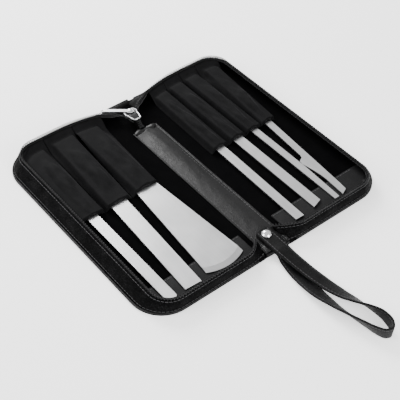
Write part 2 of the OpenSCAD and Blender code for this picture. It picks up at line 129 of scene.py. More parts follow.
class Finish:
    """One surface finish, with its fixed values on the shader's own sockets."""

    def __init__(self, name, **fixed):
        self.material = bpy.data.materials.new(name)
        self.material.use_nodes = True
        self.tree = self.material.node_tree
        self.shader = self.tree.nodes["Principled BSDF"]
        for socket, value in fixed.items():
            self.shader.inputs[socket.replace("_", " ")].default_value = value

    def feed(self, socket, value):
        if isinstance(value, Signal):
            self.tree.links.new(value.socket, socket)
        else:
            socket.default_value = value

    def node(self, kind, settings=None, sockets=None, out=0):
        made = self.tree.nodes.new(kind)
        for key, value in (settings or {}).items():
            setattr(made, key, value)
        for key, value in (sockets or {}).items():
            self.feed(made.inputs[key], value)
        return Signal(self, made.outputs[out])

    def place(self, *scale):
        """Where a point is on the piece, in metres, stretched by scale."""
        where = self.node("ShaderNodeTexCoord", out=3)
        return self.node("ShaderNodeVectorMath", {"operation": "MULTIPLY"}, {0: where, 1: scale})

    def cloud(self, size, detail=3.0, rough=0.5):
        """Soft mottling with patches about size metres across."""
        step = 1.0 / size
        sockets = {"Vector": self.place(step, step, step), "Scale": 1.0,
                   "Detail": detail, "Roughness": rough}
        return self.node("ShaderNodeTexNoise", None, sockets)

    def cells(self, size, feature="F1"):
        """Distance to the nearest of many points about size metres apart."""
        step = 1.0 / size
        return self.node("ShaderNodeTexVoronoi", {"feature": feature},
                         {"Vector": self.place(step, step, step), "Scale": 1.0})

    def blend_colour(self, amount, low, high):
        sockets = {0: amount, 6: (*low, 1.0), 7: (*high, 1.0)}
        return self.node("ShaderNodeMix", {"data_type": "RGBA"}, sockets, out=2)

    def relief(self, height, depth, strength=1.0):
        """Turns a height from 0 to 1 into a bump depth metres deep."""
        sockets = {"Strength": strength, "Distance": depth, "Height": height}
        bump = self.node("ShaderNodeBump", None, sockets)
        self.feed(self.shader.inputs["Normal"], bump)

    def paint(self, **signals):
        for socket, value in signals.items():
            self.feed(self.shader.inputs[socket.replace("_", " ")], value)
        return self


def leather(name, dark, light, rough, gloss=0.1, grain=0.0011, depth=0.00016, crease_size=0.009):
    """Black faux leather: pebbled grain with polished tops that carry a painted highlight, and slow
    creasing.
    """
    made = Finish(name, Specular_IOR_Level=gloss)
    pebble_and_highlight = made.cells(grain, "DISTANCE_TO_EDGE").steep(0.02, 0.42)
    crease = made.cloud(crease_size, 3.0, 0.55)
    wear_and_highlight = crease.steep(0.38, 0.72)
    fine = made.cloud(0.00025, 2.0)
    # painted highlight: the grain's tops are painted lighter in the base colour, most of all in the worn
    # patches, and the valleys are left dark
    made.paint(Base_Color=made.blend_colour(pebble_and_highlight * (0.25 + 0.75 * wear_and_highlight), dark, light),
               Roughness=rough + 0.2 * (1 - pebble_and_highlight) - 0.12 * wear_and_highlight)
    made.relief(pebble_and_highlight * 0.75 + fine * 0.2 + crease * 2.4, depth, 0.9)
    return made.material


skin_finish = leather("skin_leather", (0.0008, 0.0008, 0.0009), (0.012, 0.012, 0.0125), 0.42)

mm = 0.001
skin_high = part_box("right_cover")[1]
edge_x, half_len, skin_t = skin_high.x / mm, skin_high.y / mm, skin_high.z / mm
crease_x = 10.0
corner_r = 24.0


def outline(side_in, far_in, near_in, radius, near_x, far_x, arc=16, side=30, ends=12):
    """The right half's edge from the near end of the spine round to the far end, in mm."""
    x1, y0, y1 = edge_x - side_in, -half_len + near_in, half_len - far_in
    points = [(near_x + (x1 - radius - near_x) * i / ends, y0) for i in range(ends)]
    for i in range(arc + 1):
        a = math.radians(-90 + 90 * i / arc)
        points.append((x1 - radius + radius * math.cos(a), y0 + radius + radius * math.sin(a)))
    y_run = y1 - y0 - 2 * radius
    points += [(x1, y0 + radius + y_run * i / side) for i in range(1, side)]
    for i in range(arc + 1):
        a = math.radians(90 * i / arc)
        points.append((x1 - radius + radius * math.cos(a), y1 - radius + radius * math.sin(a)))
    points += [(x1 - radius + (far_x - x1 + radius) * i / ends, y1) for i in range(1, ends + 1)]
    return points


def put(name, mesh, finish, smooth=True):
    """Makes an object of a mesh, with its finish."""
    made = bpy.data.objects.new(name, mesh)
    bpy.context.collection.objects.link(made)
    mesh.materials.append(finish)
    for face in mesh.polygons:
        face.use_smooth = smooth
    return made


def plate(name, points, z0, z1, finish, cuts_x, cuts_y=(), rim=0.35):
    """A flat sheet cut to an outline, with a rounded rim and lines across to bend at."""
    mesh = bpy.data.meshes.new(name)
    shape = bmesh.new()
    face = shape.faces.new([shape.verts.new((x * mm, y * mm, z0 * mm)) for x, y in points])
    for axis, cuts in ((0, cuts_x), (1, cuts_y)):
        for at in cuts:
            spot, facing = [0, 0, 0], [0, 0, 0]
            spot[axis], facing[axis] = at * mm, 1
            every = shape.verts[:] + shape.edges[:] + shape.faces[:]
            bmesh.ops.bisect_plane(shape, geom=every, plane_co=spot, plane_no=facing, dist=1e-7)
    grown = bmesh.ops.extrude_face_region(shape, geom=shape.faces[:])
    top = [v for v in grown["geom"] if isinstance(v, bmesh.types.BMVert)]
    bmesh.ops.translate(shape, verts=top, vec=(0, 0, (z1 - z0) * mm))
    bmesh.ops.recalc_face_normals(shape, faces=shape.faces[:])
    sharp = 1.2
    rims = [e for e in shape.edges if len(e.link_faces) == 2 and e.calc_face_angle(0) > sharp]
    # where two halves of a sheet meet in the middle, the rim stays square
    for e in [e for e in rims if max(abs(v.co.x) for v in e.verts) < 1e-6]:
        e.smooth = False
        rims.remove(e)
    bmesh.ops.bevel(shape, geom=rims, offset=rim * mm, segments=2,
                    affect="EDGES", profile=0.6)
    shape.to_mesh(mesh)
    shape.free()
    return put(name, mesh, finish)


def halves():
    """Side name, sign of X and body of each half of the case."""
    return (("left", -1, "left_half"), ("right", 1, "right_half"))


def over_crease(piece, half):
    """Bakes a piece's place in the scene into its mesh."""
    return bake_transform(piece)


crease_cuts = [7.0 + 0.5 * i for i in range(14)]
groove_deep, groove_half = 0.35, 2.5
for side, sign, half in halves():
    edge = outline(0, 0, 0, corner_r, 0, 0)
    edge = [(sign * x, y) for x, y in edge]
    cuts = [sign * c for c in crease_cuts]
    skin = plate(side + "_skin", edge, 0, skin_t, skin_finish, cuts)
    for v in skin.data.vertices:
        # pressed groove under each crease
        off = abs(v.co.x) / mm - crease_x
        if v.co.z < 0.5 * mm and abs(off) < groove_half:
            v.co.z += groove_deep * mm * math.cos(off / groove_half * math.pi / 2) ** 2
    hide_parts(side + "_cover", *(["spine_skin"] if sign < 0 else []))
    over_crease(skin, half)


# ---------------------------------------------------------------------------
# Piped edge. A cord rolled in the same leather and sewn between the flat skin
# and the wall; it runs round three sides of each half.
# ---------------------------------------------------------------------------
def loft(name, rings, finish, closed=False):
    """A tube through rings of points, all in mm, each ring having as many points."""
    mesh = bpy.data.meshes.new(name)
    shape = bmesh.new()
    rows = [[shape.verts.new(Vector(p) * mm) for p in ring] for ring in rings]
    count = len(rows[0])
    pairs = list(zip(rows, rows[1:]))
    if closed:
        pairs.append((rows[-1], rows[0]))
    for a, b in pairs:
        for i in range(count):
            j = (i + 1) % count
            shape.faces.new((a[i], a[j], b[j], b[i]))
    if not closed:
        shape.faces.new(rows[0][::-1])
        shape.faces.new(rows[-1])
    bmesh.ops.recalc_face_normals(shape, faces=shape.faces[:])
    shape.to_mesh(mesh)
    shape.free()
    return put(name, mesh, finish)


def along(points):
    """Unit direction of a line of points at each of them."""
    points = [Vector(p) for p in points]
    last = len(points) - 1
    return [(points[min(i + 1, last)] - points[max(i - 1, 0)]).normalized()
            for i in range(last + 1)]


def tube(points, radius, sides=8):
    """Rings of a round tube along points."""
    rings = []
    for p, d in zip(points, along(points)):
        flat = Vector((0, 0, 1)) if abs(d.z) < 0.9 else Vector((0, 1, 0))
        u = d.cross(flat).normalized()
        v = u.cross(d)
        turns = [2 * math.pi * k / sides for k in range(sides)]
        rings.append([Vector(p) + radius * (u * math.cos(t) + v * math.sin(t)) for t in turns])
    return rings


def even(points, step):
    """The same line of points, walked again in equal steps."""
    points = [Vector(p) for p in points]
    out, carry = [points[0]], 0.0
    for a, b in zip(points, points[1:]):
        run = (b - a).length
        at = step - carry
        while at <= run:
            out.append(a.lerp(b, at / run))
            at += step
        carry = run - (at - step)
    return out


def rows_of_stitches(name, lines, length, gap, thick, finish):
    """Short sewn threads along lines of points, each a little arched, as one mesh."""
    mesh = bpy.data.meshes.new(name)
    shape = bmesh.new()
    for line in lines:
        spots = even(line, (length + gap) / 4)
        for k in range(0, len(spots) - 4, 4):
            part = spots[k:k + 4]
            part = [part[0] - Vector((0, 0, thick)), *part[1:3], part[3] - Vector((0, 0, thick))]
            rings = [[shape.verts.new(p * mm) for p in ring] for ring in tube(part, thick, 5)]
            for a, b in zip(rings, rings[1:]):
                for i in range(5):
                    shape.faces.new((a[i], a[(i + 1) % 5], b[(i + 1) % 5], b[i]))
            shape.faces.new(rings[0][::-1])
            shape.faces.new(rings[-1])
    bmesh.ops.recalc_face_normals(shape, faces=shape.faces[:])
    shape.to_mesh(mesh)
    shape.free()
    return put(name, mesh, finish)


thread = Finish("sewing_thread", Roughness=0.6)
fibre = thread.cloud(0.0006)
thread.paint(Base_Color=thread.blend_colour(fibre, (0.02, 0.02, 0.021), (0.075, 0.075, 0.078)))
thread.relief(thread.cloud(0.0002), 0.00004)
thread_finish = thread.material

piping_finish = leather("piping_leather", (0.001, 0.001, 0.0011), (0.016, 0.016, 0.0165), 0.32, 0.2)
near_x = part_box("right_wall")[0].x / mm
far_x = 22.0
roll_in, roll_r, roll_z = 0.6, 0.62, 1.55
for side, sign, half in halves():
    edge = outline(roll_in, roll_in, roll_in, corner_r - roll_in, near_x, far_x - 6, 20, 40, 16)
    rolled = [(sign * x, y, roll_z + 0.08 * math.sin(i * 1.7)) for i, (x, y) in enumerate(edge)]
    piping = loft(side + "_piping_roll", tube(rolled, roll_r), piping_finish)
    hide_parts(side + "_piping")
    over_crease(piping, half)


# ---------------------------------------------------------------------------
# Soft wall. A strip of the same leather over thin card, sewn to the skin at its
# foot and to the zipper tape at its top. It leans in, bulges a little, gathers
# in pleats round the corners, and is drawn in beside the rivet and the slider.
# ---------------------------------------------------------------------------
wall_low, wall_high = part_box("right_wall")
wall_foot, wall_top = wall_low.z / mm, wall_high.z / mm
side_lean, far_lean, near_lean, foot_in = 7.8, 3.4, 0.4, 1.2
near_fold_x = 23.5
far_draw, draw_x, draw_run, draw_power = 5.2, 52, 30, 1.7


def wall_edges(arc=20, side=44, ends=16):
    """Foot and top lines of the right wall, in mm, with the ends that fold to the spine."""
    def level(share):
        ins = [foot_in + lean * share for lean in (side_lean, far_lean, near_lean)]
        return outline(*ins, corner_r - ins[0], near_fold_x, far_x, arc, side, ends)

    foot = [Vector((x, y, wall_foot + 0.1)) for x, y in level(0)]
    top = [Vector((x, y, wall_top)) for x, y in level(1)]
    for p in top:
        # the far wall is drawn in towards the slider
        if p.y > 60 and p.x < draw_x:
            p.y -= far_draw * ((draw_x - p.x) / draw_run) ** draw_power
    return foot, top


foot_line, top_line = wall_edges()
bend_in = [
    # top and foot of the far end, where it folds down towards the slider
    ((19.0, 81.1, 11.2), (19.5, 91.3, 1.2)), ((16.2, 79.8, 10.9), (17.0, 91.3, 1.2)),
    ((13.2, 78.3, 10.5), (14.5, 91.2, 1.2)), ((10.4, 76.8, 10.0), (12.0, 91.1, 1.3)),
    ((7.9, 75.4, 9.5), (9.5, 90.9, 1.6)), ((6.0, 74.5, 9.1), (7.6, 90.0, 2.1)),
]
near_fold = [
    # top and foot of the near end, drawn in beside the rivet
    ((7.6, -76.6, 5.8), (8.6, -91.0, 1.4)), ((9.0, -78.8, 6.9), (10.4, -91.3, 1.2)),
    ((10.8, -81.4, 8.1), (12.4, -91.4, 1.1)), ((13.0, -84.0, 9.2), (14.4, -91.4, 1.1)),
    ((15.6, -86.5, 10.2), (16.6, -91.4, 1.1)), ((18.4, -88.6, 10.9), (18.9, -91.4, 1.1)),
    ((21.2, -90.3, 11.4), (21.3, -91.4, 1.1)),
]
foot_line = ([Vector(f) for t, f in near_fold] + foot_line + [Vector(f) for t, f in bend_in])
top_line = ([Vector(t) for t, f in near_fold] + top_line + [Vector(t) for t, f in bend_in])
inward = []
for f, t, d in zip(foot_line, top_line, along(foot_line)):
    inward.append((t - f).cross(d).normalized())
if inward[len(inward) // 2].x > 0:
    inward = [-n for n in inward]

wall_profile = [
    # share of the height, distance in from the outer face, in mm
    (0.0, 0.0), (0.1, 0.0), (0.24, 0.0), (0.38, 0.0), (0.52, 0.0), (0.66, 0.0),
    (0.8, 0.0), (0.9, 0.0), (0.955, 0.0), (0.995, 0.22), (1.01, 0.6), (0.995, 1.0),
    (0.94, 1.2), (0.75, 1.2), (0.5, 1.2), (0.25, 1.2), (0.0, 1.2),
]
wall_finish = leather("wall_leather", (0.0005, 0.0005, 0.0006), (0.013, 0.013, 0.0135), 0.55, 0.025)

tail_low, tail_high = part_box("zipper_tail")
slider_x = (tail_low.x + tail_high.x) / 2 / mm


def wall_rings(sign):
    """Sections of one half's wall, from the rivet round to the slider."""
    rings = []
    walked = 0.0
    gathers = [Vector((edge_x - 7, s * (half_len - 7), 1)) for s in (-1, 1)]
    for i, (f, t, n) in enumerate(zip(foot_line, top_line, inward)):
        if i:
            walked += (f - foot_line[i - 1]).length
        corner = max(0.0, 1 - min((f - gather).length for gather in gathers) / 30)
        ring = []
        for share, off in wall_profile:
            swell = 0.75 * math.sin(math.pi * min(1, share * 1.08)) if off < 0.1 else 0
            pleat = corner ** 0.7 * (0.42 * math.sin(walked * 0.95 + 2.2 * share)
                                     + 0.25 * math.sin(walked * 2.1 - 1.4 * share)) * (1 - 0.55 * share)
            slow = 0.22 * noise.noise(Vector((walked * 0.045, share * 1.5, 3.1 * sign)))
            push = (swell + pleat + slow) if off < 0.3 and 0.05 < share < 0.97 else 0
            seam = -0.28 if off < 0.1 and abs(share - 0.8) < 0.02 else 0
            p = f.lerp(t, share) + n * (off - push - seam)
            aside = slider_x * share * min(1, max(0, (20 - p.x) / 12)) if p.y > 60 else 0
            ring.append((sign * p.x + aside, p.y, max(p.z, 1.02)))
        rings.append(ring)
    return rings


for side, sign, half in halves():
    wall = loft(side + "_soft_wall", wall_rings(sign), wall_finish)
    more = wall.modifiers.new("smooth", "SUBSURF")
    more.levels = more.render_levels = 1
    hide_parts(side + "_wall")
    over_crease(wall, half)
    lines = []
    # one row under the zipper and one above the piping
    for share, lift in ((0.88, 0.12), (0.14, 0.1)):
        line = []
        for f, t, n in zip(foot_line[1:-3], top_line[1:-3], inward[1:-3]):
            p = f.lerp(t, share) - n * (0.75 * math.sin(math.pi * min(1, share * 1.08)) + lift)
            line.append((sign * p.x, p.y, p.z))
        lines.append(line)
    sewn = rows_of_stitches(side + "_wall_stitches", lines, 1.7, 0.9, 0.16, thread_finish)
    over_crease(sewn, half)


# ---------------------------------------------------------------------------
# Zipper. Woven tape sewn inside the top of the wall, with a wound nylon coil on
# its free edge that stands up in teeth. Both leave the far wall and curve down
# and aside into the slider, where the tape lies flat.
# ---------------------------------------------------------------------------
tape = Finish("zipper_tape_weave", Roughness=0.85, Sheen_Weight=0.03, Sheen_Roughness=0.5,
              Specular_IOR_Level=0.15)
warp = tape.node("ShaderNodeTexWave", {"wave_type": "BANDS", "bands_direction": "Z"},
                 {"Vector": tape.place(2600, 2600, 2600), "Scale": 0.5, "Distortion": 1.5})
tape.paint(Base_Color=tape.blend_colour(warp * 0.6 + tape.cloud(0.002) * 0.4,
                                        (0.004, 0.004, 0.0042), (0.013, 0.013, 0.0135)))
tape.relief(warp, 0.00006)
tape_finish = tape.material

coil = Finish("zipper_coil_nylon", Specular_IOR_Level=0.06)
mottle = coil.cloud(0.0009)
coil.paint(Base_Color=coil.blend_colour(mottle, (0.006, 0.006, 0.0062), (0.045, 0.045, 0.046)),
           Roughness=0.4 + 0.2 * mottle)
coil.relief(mottle, 0.00005)
coil_finish = coil.material

up_line, tape_line, tape_in = [], [], []
for f, t, n in list(zip(foot_line, top_line, inward))[:-len(bend_in)]:
    up_line.append((t - f).normalized())
    tape_line.append(t)
    tape_in.append(n)
into_slider = [
    # the tape's sewn line, and the way its free edge faces, down to the slider
    ((19.0, 81.1, 11.3), (-0.10, -0.45, 0.88)), ((16.0, 79.6, 10.9), (-0.25, -0.45, 0.80)),
    ((13.0, 77.9, 10.4), (-0.42, -0.42, 0.66)), ((10.3, 76.1, 9.9), (-0.60, -0.38, 0.48)),
    ((8.2, 74.4, 9.4), (-0.78, -0.30, 0.28)), ((6.6, 72.3, 9.0), (-0.92, -0.16, 0.12)),
    ((5.5, 70.1, 8.95), (-0.99, -0.03, 0.03)),
]
for at, facing in into_slider:
    tape_line.append(Vector(at))
    up_line.append(Vector(facing).normalized())
steps = along(tape_line)
for k in range(len(into_slider)):
    i = len(tape_line) - len(into_slider) + k
    n = steps[i].cross(up_line[i]).normalized()
    tape_in.append(n if n.dot(tape_in[-1]) > 0 else -n)


def taper(i, count, last=4):
    """1 along the tape, falling to 0.45 at its last few places."""
    return 1.0 - 0.55 * max(0, i - (count - 1 - last)) / last


tape_back, tape_t = 1.32, 0.5
coil_step, coil_pitch, coil_r = 0.23, 2.1, 0.34
total = len(tape_line)
for side, sign, half in halves():
    def turned(p):
        """A point of the right half on this half, led aside to the slider."""
        aside = slider_x * min(1, max(0, (20 - p.x) / 12)) if p.y > 60 else 0
        return (sign * p.x + aside, p.y, p.z)

    rings = []
    for i, (t, u, n) in enumerate(zip(tape_line, up_line, tape_in)):
        low, high = -3.0 * taper(i, total), 0.6
        base = t + n * tape_back
        ripple = 0.12 * math.sin(i * 0.9 + sign)
        corners = [(low, ripple), (low * 0.5, ripple * 0.6), (0.2, 0), (high, 0),
                   (high + 0.12, tape_t / 2), (high, tape_t), (0.2, tape_t),
                   (low * 0.5, tape_t + ripple * 0.6), (low, tape_t + ripple)]
        rings.append([turned(base + u * a + n * b) for a, b in corners])
    band = loft(side + "_tape", rings, tape_finish)
    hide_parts(side + "_zipper_tape")
    over_crease(band, half)

    def detour(p, j):
        """How much longer the j-th step of the tape is when it goes by way of p."""
        return abs((tape_line[j] - p).length + (tape_line[j + 1] - p).length
                   - (tape_line[j + 1] - tape_line[j]).length)

    fine = even(tape_line, coil_step)
    frames = []
    for p in fine:
        k = min(range(total - 1), key=lambda j: detour(p, j))
        share = (p - tape_line[k]).length / (tape_line[k + 1] - tape_line[k]).length
        frames.append((up_line[k].lerp(up_line[k + 1], share).normalized(),
                       tape_in[k].lerp(tape_in[k + 1], share).normalized()))
    wound = []
    for j, (p, (u, n)) in enumerate(zip(fine, frames)):
        turn = 2 * math.pi * j * coil_step / coil_pitch
        # the teeth lean out over the wall, and stand straight at the slider
        stand = (u - n * 0.45 * min(1, (len(fine) - j) * 0.02)).normalized()
        rise = 2 * (0.5 + 0.5 * math.cos(turn)) ** 1.3 - 1
        wound.append(turned(p + n * (0.5 + 0.35 * math.sin(turn)) + stand * (1.05 + 0.9 * rise)))
    teeth = loft(side + "_coil", tube(wound, coil_r, 6), coil_finish)
    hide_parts(side + "_zipper_coil")
    over_crease(teeth, half)
    tape_places = list(zip(tape_line, up_line, tape_in))
    rows = [[turned(t + n * (tape_back + 0.62) + u * -0.9) for t, u, n in tape_places],
            [turned(t + n * 0.72 + u * 0.35) for t, u, n in tape_places]]
    sewn = rows_of_stitches(side + "_tape_stitches", rows, 1.5, 0.8, 0.13, thread_finish)
    over_crease(sewn, half)


# ---------------------------------------------------------------------------
# Lining and boards. Fine black knitted lining, glued over stiff board; it runs
# over both creases under the spine strip and lies a little uneven.
# ---------------------------------------------------------------------------
cloth = Finish("lining_cloth", Roughness=0.9, Specular_IOR_Level=0.01)
knit = cloth.node("ShaderNodeTexWave", {"wave_type": "BANDS", "bands_direction": "DIAGONAL"},
                  {"Vector": cloth.place(1500, 1500, 1500), "Scale": 0.6, "Distortion": 2.0})
cloth.paint(Base_Color=cloth.blend_colour(knit * 0.4 + cloth.cloud(0.01) * 0.6,
                                          (0.0006, 0.0006, 0.0007), (0.003, 0.003, 0.0032)))
cloth.relief(knit, 0.00006)
cloth_finish = cloth.material

board = Finish("stiff_board", Roughness=0.8)
pulp = board.cloud(0.0015)
board.paint(Base_Color=board.blend_colour(pulp, (0.08, 0.08, 0.08), (0.16, 0.16, 0.155)))
board.relief(pulp, 0.00008)
for name in ("left_board", "right_board", "spine_stiffener"):
    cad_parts[name].data.materials.clear()
    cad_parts[name].data.materials.append(board.material)

lining_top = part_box("right_lining")[1].z / mm
for side, sign, half in halves():
    edge = [(sign * x, y) for x, y in outline(4.6, 3.7, 2.7, corner_r - 2.2, 0, 0)]
    cuts_x = [sign * c for c in crease_cuts + [24 + 6 * i for i in range(13)]]
    cuts_y = [-86 + 6 * i for i in range(30)]
    lining = plate(side + "_lining_cloth", edge, lining_top - 0.45, lining_top + 0.05,
                   cloth_finish, cuts_x, cuts_y, 0.15)
    for v in lining.data.vertices:
        if v.co.z > (lining_top - 0.2) * mm:
            v.co.z += 0.07 * mm * noise.noise(v.co * 60)
    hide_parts(side + "_lining")
    over_crease(lining, half)


# ---------------------------------------------------------------------------
# Bound ends of the spine. The skin is turned up over the board at the spine's
# two ends and tucked in over the lining.
# ---------------------------------------------------------------------------
bound_edges = {
    # distance along the case, height
    "far": [(86.2, 3.56), (86.2, 3.95), (90.2, 4.15), (91.6, 3.98), (92.3, 3.3),
            (92.42, 1.0), (91.2, 1.0), (91.2, 3.56)],
    "near": [(-91.1, 1.0), (-91.1, 3.54), (-91.9, 3.52), (-92.35, 3.1), (-92.42, 1.0)],
}
for which, line in bound_edges.items():
    rings = []
    for i in range(21):
        uneven = 0.12 * (1 + math.sin(i * 1.3))
        rings.append([(-9.8 + 0.98 * i, y - uneven * (y > 92), z) for y, z in line])
    bound = loft("spine_bound_edge_" + which, rings, skin_finish)
    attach(bound, "spine")


# ---------------------------------------------------------------------------
# Sleeves. Brushed fleece sewn down in a row on the lining, one snug sleeve for
# each handle: crowned, with soft sags and folds, and turned up the far wall at
# its closed end.
# ---------------------------------------------------------------------------
fleece = Finish("sleeve_fleece", Roughness=0.75, Sheen_Weight=0.035, Sheen_Roughness=0.34,
                Sheen_Tint=(0.8, 0.8, 0.83, 1.0), Specular_IOR_Level=0.04)
nap = fleece.cloud(0.0007, 4.0, 0.7)
tuft = fleece.cloud(0.006, 3.0)
fleece.paint(Base_Color=fleece.blend_colour(nap * 0.5 + tuft * 0.5,
                                            (0.001, 0.001, 0.0011), (0.010, 0.010, 0.0105)))
fleece.relief(nap * 0.6 + tuft * 0.8, 0.00035, 0.6)
fleece_finish = fleece.material

tools = [
    # name, side, where its two seams are across the case at the mouth and at the far end
    ("narrow", "left", (-91.3, -70.9), (-90.4, -68.6)),
    ("medium", "left", (-70.9, -48.6), (-68.6, -44.6)),
    ("fan", "left", (-48.6, -25.6), (-44.6, -21.4)),
    ("square", "right", (21.4, 37.4), (22.6, 38.2)),
    ("skew", "right", (37.4, 53.4), (38.2, 54.1)),
    ("taper", "right", (53.4, 68.0), (54.1, 69.8)),
    ("knife", "right", (68.0, 82.6), (69.8, 89.2)),
]
mouth_y, reach = 3.6, 82.0
handle_len, handle_room = 68, {"left": 7.6, "right": 4.7}
turn_up_r = 13.8


def far_end(x):
    """How far a sleeve's cloth runs at x, up to the inner face of the far wall."""
    corner_x, corner_y = edge_x - corner_r, half_len - corner_r + 4.4
    drawn_in = far_draw * (max(0.0, draw_x - abs(x)) / draw_run) ** draw_power
    if abs(x) > corner_x:
        round_in = math.sqrt(max(0.0, turn_up_r ** 2 - (abs(x) - corner_x) ** 2))
        return corner_y - mouth_y + round_in
    return half_len - 5.8 - drawn_in - mouth_y


def soft_step(t):
    """0 below 0, 1 above 1, and a smooth rise between."""
    t = min(1.0, max(0.0, t))
    return t * t * (3 - 2 * t)


# places along a sleeve: close together at its hem and where it turns up the wall
stops = [-0.5, 0, 0.6, 1.4, 2.6, 4] + [4 + 3.3 * i for i in range(1, 21)]
stops += [72.5, 74.7, 76.4, 77.6, 78.7, 79.7, 80.6, 81.4, 82]
across = 25
straight_run = 45
lining_gap = 0.12


def sleeve_rings(name, side, mouth, far):
    """Cloth over one handle; at its far end it is turned up the wall to the zipper tape."""
    grip_low, grip_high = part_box(name + "_handle")
    grip_mid = (grip_low + grip_high) / 2 / mm
    drift = (grip_high.x - grip_low.x) / mm - 2 * (handle_room[side] - 0.35)
    grip_slope = max(0.0, drift) / handle_len
    grip_end = grip_high.y / mm - mouth_y
    seed = mouth[0] * 0.37
    rings = []
    for y in stops:
        falling = 1 - soft_step((y - 48) / (reach - 48)) ** 1.3
        thick = 0.6 if y > -0.2 else 0.4
        crown = 6.3 + 1.5 * soft_step(y / 22)
        sag = 0.3 * math.sin(y * 0.085 + seed) + 0.6 * noise.noise(Vector((seed, y * 0.06, 0)))
        wander = 0.3 * noise.noise(Vector((seed + 7, y * 0.035, 0))) * min(1, y / 20)
        left, right = (m + (f - m) * max(0, y) / reach for m, f in zip(mouth, far))
        outer, inner = [], []
        for k in range(across):
            u = -1 + 2 * k / (across - 1)
            x = (left + right) / 2 + u * (right - left) / 2
            ridge = u - wander * (1 - u * u)
            arch = max(0.0, 1 - abs(ridge) ** 2.0) ** 1.15
            fold = (1.9 * noise.noise(Vector((u * 1.4 + seed - y * 0.035, y * 0.05, seed)))
                    + 0.9 * noise.noise(Vector((u * 2.9 + y * 0.08, y * 0.11, seed + 3))))
            height = (crown + sag + fold * min(1, 0.3 + y / 15)) * arch
            grip_x = grip_mid.x + (mouth_y + y - grip_mid.y) * grip_slope
            off_grip = abs(x - grip_x) - handle_room[side] - 0.6
            over_grip = (1 - soft_step(off_grip / 2.4)) * (1 - soft_step((y - grip_end - 1.8) / 7))
            turned_up = 6.9 * soft_step((y - 66) / 16) ** 1.4
            height = max(height * falling, 5.6 * over_grip, 1.4 * arch, turned_up)
            run = y
            if y >= straight_run:
                stretch = (far_end(x) - straight_run) / (reach - straight_run)
                run = straight_run + (y - straight_run) * stretch
            bow = 0.9 * math.cos(u * math.pi / 2) * (1 - min(1, max(0, y) / 4))
            at_y, under = mouth_y + run + bow, lining_top + lining_gap
            tuck = 0.5 if k == 0 else -0.5 if k == across - 1 else 0
            top = under + max(0.25, height)
            outer.append((x, at_y, top))
            inner.append((x + tuck, at_y, min(under + max(0.08, height - thick), top - 0.15)))
        rings.append(outer + inner[::-1])
    return rings


for name, side, mouth, far in tools:
    sleeve = loft(name + "_fleece_sleeve", sleeve_rings(name, side, mouth, far), fleece_finish)
    more = sleeve.modifiers.new("soft", "SUBSURF")
    more.levels = more.render_levels = 1
    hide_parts(name + "_sleeve")
    middle_x = sum(mouth) / 2 * mm
    low = (middle_x, 0, (lining_top + 0.3) * mm)
    high = (middle_x, 0, (lining_top + 4.6) * mm)
    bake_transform(sleeve)


# ---------------------------------------------------------------------------
# Handles and blades. Each tool is a ground steel blade whose tang is moulded
# into a black plastic handle; only the blade shows outside its sleeve.
# ---------------------------------------------------------------------------
grip = Finish("handle_plastic", Roughness=0.45)
haze = grip.cloud(0.0008)
grip.paint(Base_Color=grip.blend_colour(haze, (0.012, 0.012, 0.013), (0.022, 0.022, 0.023)))
grip.relief(haze, 0.00003)


def ground_steel(name):
    """Bright steel with fine grinding marks along the blade."""
    made = Finish(name, Metallic=1.0, Specular_IOR_Level=0.5)
    drawn_out = made.place(1900, 22, 1900)
    marks = made.node("ShaderNodeTexNoise", None,
                      {"Vector": drawn_out, "Scale": 1.0, "Detail": 3.0, "Roughness": 0.65})
    film = made.cloud(0.016, 3.0, 0.55)
    made.paint(Base_Color=made.blend_colour(marks * 0.5 + film * 0.5,
                                            (0.43, 0.435, 0.44), (0.68, 0.68, 0.685)),
               Roughness=0.24 + 0.12 * marks + 0.1 * film)
    made.relief(marks, 0.000012, 0.6)
    return made.material


def dress(node_name, finish, radius, angle):
    """Gives a CAD piece its finish, and eases its edges by radius mm."""
    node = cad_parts[node_name]
    node.data.materials.clear()
    node.data.materials.append(finish)
    soft_edge = node.modifiers.new("eased_edges", "BEVEL")
    soft_edge.width, soft_edge.segments = radius * mm, 2
    soft_edge.limit_method, soft_edge.angle_limit = "ANGLE", math.radians(angle)
    return soft_edge


steel_finish = ground_steel("blade_ground_steel")
for name, side, mouth, far in tools:
    dress(name + "_handle", grip.material, 0.3, 40).harden_normals = True
    dress(name + "_blade", steel_finish, 0.16, 40).harden_normals = True


# ---------------------------------------------------------------------------
# Tip rests. A folded strip of smooth leather across the near end of each half,
# sewn down along its upper edge; the blades' tips lie on it.
# ---------------------------------------------------------------------------
rest_finish = leather("rest_leather", (0.006, 0.006, 0.0063), (0.016, 0.016, 0.0165),
                      0.5, 0.12, 0.0009, 0.00006)
rest_low, rest_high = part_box("right_tip_rest")
rest_x0, rest_x1, rest_y1, rest_top = 14.5, rest_high.x / mm, rest_high.y / mm, rest_high.z / mm
for side, sign, half in halves():
    inset = edge_x - rest_x1
    edge = outline(inset, 40, rest_low.y / mm + half_len, corner_r - inset / 2, rest_x0, rest_x0)
    edge = [p for p in edge if p[1] < rest_y1] + [(rest_x1, rest_y1), (rest_x0, rest_y1)]
    edge = [(sign * x, y) for x, y in edge]
    cuts_x, cuts_y = [sign * (16 + 2.5 * i) for i in range(31)], [-88 + 2 * i for i in range(10)]
    pad = plate(side + "_rest_strip", edge, lining_top + 0.06, rest_top, rest_finish,
                cuts_x, cuts_y, 0.5)
    for v in pad.data.vertices:
        if v.co.z > (lining_top + 0.9) * mm:
            v.co.z -= 0.12 * mm * (0.5 + 0.5 * noise.noise(v.co * 110))
    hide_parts(side + "_tip_rest")
    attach(pad, half)
    seam = [[(sign * x, rest_y1 - 1.3, rest_top + 0.02) for x in (15.5, 50, 91)]]
    sewn = rows_of_stitches(side + "_rest_stitches", seam, 1.8, 0.9, 0.17, thread_finish)
    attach(sewn, half)


